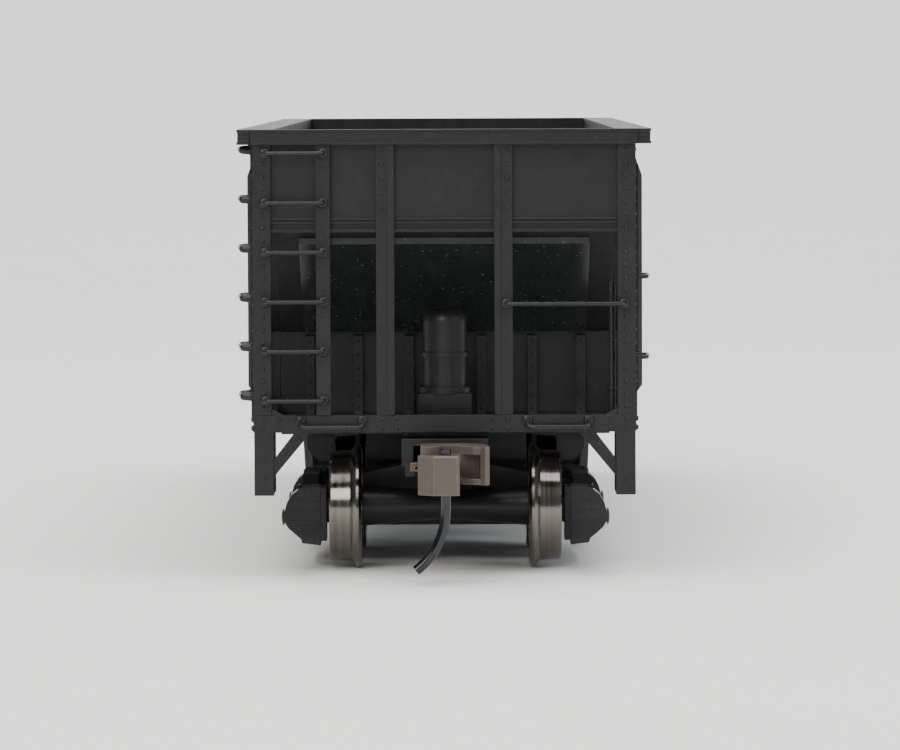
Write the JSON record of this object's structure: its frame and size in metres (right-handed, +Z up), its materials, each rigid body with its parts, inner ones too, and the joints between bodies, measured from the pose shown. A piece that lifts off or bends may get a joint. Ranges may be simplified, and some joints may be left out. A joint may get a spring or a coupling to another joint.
{
  "type": "model hopper car",
  "caption": "HO scale twin-bay open hopper car with ribbed sides, swivelling trucks, rolling wheelsets and sprung knuckle couplers.",
  "frame": {"origin": "on the bottom of the wheel flanges, at the middle of the car's length and width", "axes": "+Z up, Y along the car with the A end at -Y and the brake-wheel end at +Y, +X to the right of someone facing the A end"},
  "size_m": [0.0356, 0.139, 0.0383],
  "materials": {
    "body_plastic": "satin black styrene",
    "detail_plastic": "satin black acetal",
    "truck_plastic": "dull black acetal",
    "axle_plastic": "black",
    "wheel_metal": "turned nickel",
    "coupler_metal": "brown, worn",
    "pin_steel": "dark polished",
    "spring_bronze": "phosphor bronze",
    "weight_steel": "glossy black",
    "screw_steel": "blackened"
  },
  "bodies": {
    "car": {"side_left": "body_plastic", "side_right": "body_plastic", "centre_ridge": "body_plastic", "underframe": "body_plastic", "side_ladder_left": "detail_plastic", "side_ladder_right": "detail_plastic", "brake_cylinder": "body_plastic", "air_reservoir": "body_plastic", "control_valve": "body_plastic", "brake_rods": "detail_plastic", "brake_housing": "body_plastic", "box_screws": "screw_steel", "kingpins": "screw_steel", "end_a": "body_plastic", "end_sill_a": "body_plastic", "slope_sheet_a": "body_plastic", "weight_a": "weight_steel", "bulkhead_a": "body_plastic", "hopper_bay_a": "body_plastic", "doors_a": "body_plastic", "end_ladder_a": "detail_plastic", "grab_irons_a": "detail_plastic", "draft_box_a": "body_plastic", "draft_lid_a": "body_plastic", "centring_spring_a": "spring_bronze", "end_b": "body_plastic", "end_sill_b": "body_plastic", "slope_sheet_b": "body_plastic", "weight_b": "weight_steel", "bulkhead_b": "body_plastic", "hopper_bay_b": "body_plastic", "doors_b": "body_plastic", "end_ladder_b": "detail_plastic", "grab_irons_b": "detail_plastic", "draft_box_b": "body_plastic", "draft_lid_b": "body_plastic", "centring_spring_b": "spring_bronze"},
    "truck_a": {"side_frames_a": "truck_plastic", "truck_bolster_a": "truck_plastic", "brake_beams_a": "truck_plastic"},
    "coupler_a": {"coupler_a": "coupler_metal", "knuckle_spring_a": "spring_bronze"},
    "knuckle_a": {"knuckle_a": "coupler_metal", "trip_pin_a": "pin_steel"},
    "truck_b": {"side_frames_b": "truck_plastic", "truck_bolster_b": "truck_plastic", "brake_beams_b": "truck_plastic"},
    "coupler_b": {"coupler_b": "coupler_metal", "knuckle_spring_b": "spring_bronze"},
    "knuckle_b": {"knuckle_b": "coupler_metal", "trip_pin_b": "pin_steel"},
    "wheelset_1": {"axle_1": "axle_plastic", "wheels_1": "wheel_metal"},
    "wheelset_2": {"axle_2": "axle_plastic", "wheels_2": "wheel_metal"},
    "wheelset_3": {"axle_3": "axle_plastic", "wheels_3": "wheel_metal"},
    "wheelset_4": {"axle_4": "axle_plastic", "wheels_4": "wheel_metal"},
    "brake_wheel": {"brake_wheel": "detail_plastic"}
  },
  "joints": [
    {"name": "truck_a_swivel", "type": "hinge", "parent": "car", "child": "truck_a", "pos_m": [0, -0.0409, 0.0093], "axis": [0, 0, 1], "range_deg": [-12, 12]},
    {"name": "coupler_a_swing", "type": "hinge", "parent": "car", "child": "coupler_a", "pos_m": [0, -0.0555, 0.01075], "axis": [0, 0, 1], "range_deg": [-12, 12], "stiffness_Nm_per_rad": 0.0002},
    {"name": "knuckle_a_open", "type": "hinge", "parent": "coupler_a", "child": "knuckle_a", "pos_m": [-0.0012, -0.0665, 0.0098], "axis": [0, 0, 1], "range_deg": [-30, 0], "stiffness_Nm_per_rad": 0.00005},
    {"name": "truck_b_swivel", "type": "hinge", "parent": "car", "child": "truck_b", "pos_m": [0, 0.0409, 0.0093], "axis": [0, 0, 1], "range_deg": [-12, 12]},
    {"name": "coupler_b_swing", "type": "hinge", "parent": "car", "child": "coupler_b", "pos_m": [0, 0.0555, 0.01075], "axis": [0, 0, 1], "range_deg": [-12, 12], "stiffness_Nm_per_rad": 0.0002},
    {"name": "knuckle_b_open", "type": "hinge", "parent": "coupler_b", "child": "knuckle_b", "pos_m": [0.0012, 0.0665, 0.0098], "axis": [0, 0, 1], "range_deg": [-30, 0], "stiffness_Nm_per_rad": 0.00005},
    {"name": "wheelset_1_roll", "type": "hinge", "parent": "truck_a", "child": "wheelset_1", "pos_m": [0, -0.0505, 0.00544], "axis": [1, 0, 0], "continuous": true},
    {"name": "wheelset_2_roll", "type": "hinge", "parent": "truck_a", "child": "wheelset_2", "pos_m": [0, -0.0313, 0.00544], "axis": [1, 0, 0], "continuous": true},
    {"name": "wheelset_3_roll", "type": "hinge", "parent": "truck_b", "child": "wheelset_3", "pos_m": [0, 0.0313, 0.00544], "axis": [1, 0, 0], "continuous": true},
    {"name": "wheelset_4_roll", "type": "hinge", "parent": "truck_b", "child": "wheelset_4", "pos_m": [0, 0.0505, 0.00544], "axis": [1, 0, 0], "continuous": true},
    {"name": "brake_wheel_turn", "type": "hinge", "parent": "car", "child": "brake_wheel", "pos_m": [0, 0.0631, 0.0326], "axis": [0, 1, 0], "continuous": true}
  ]
}
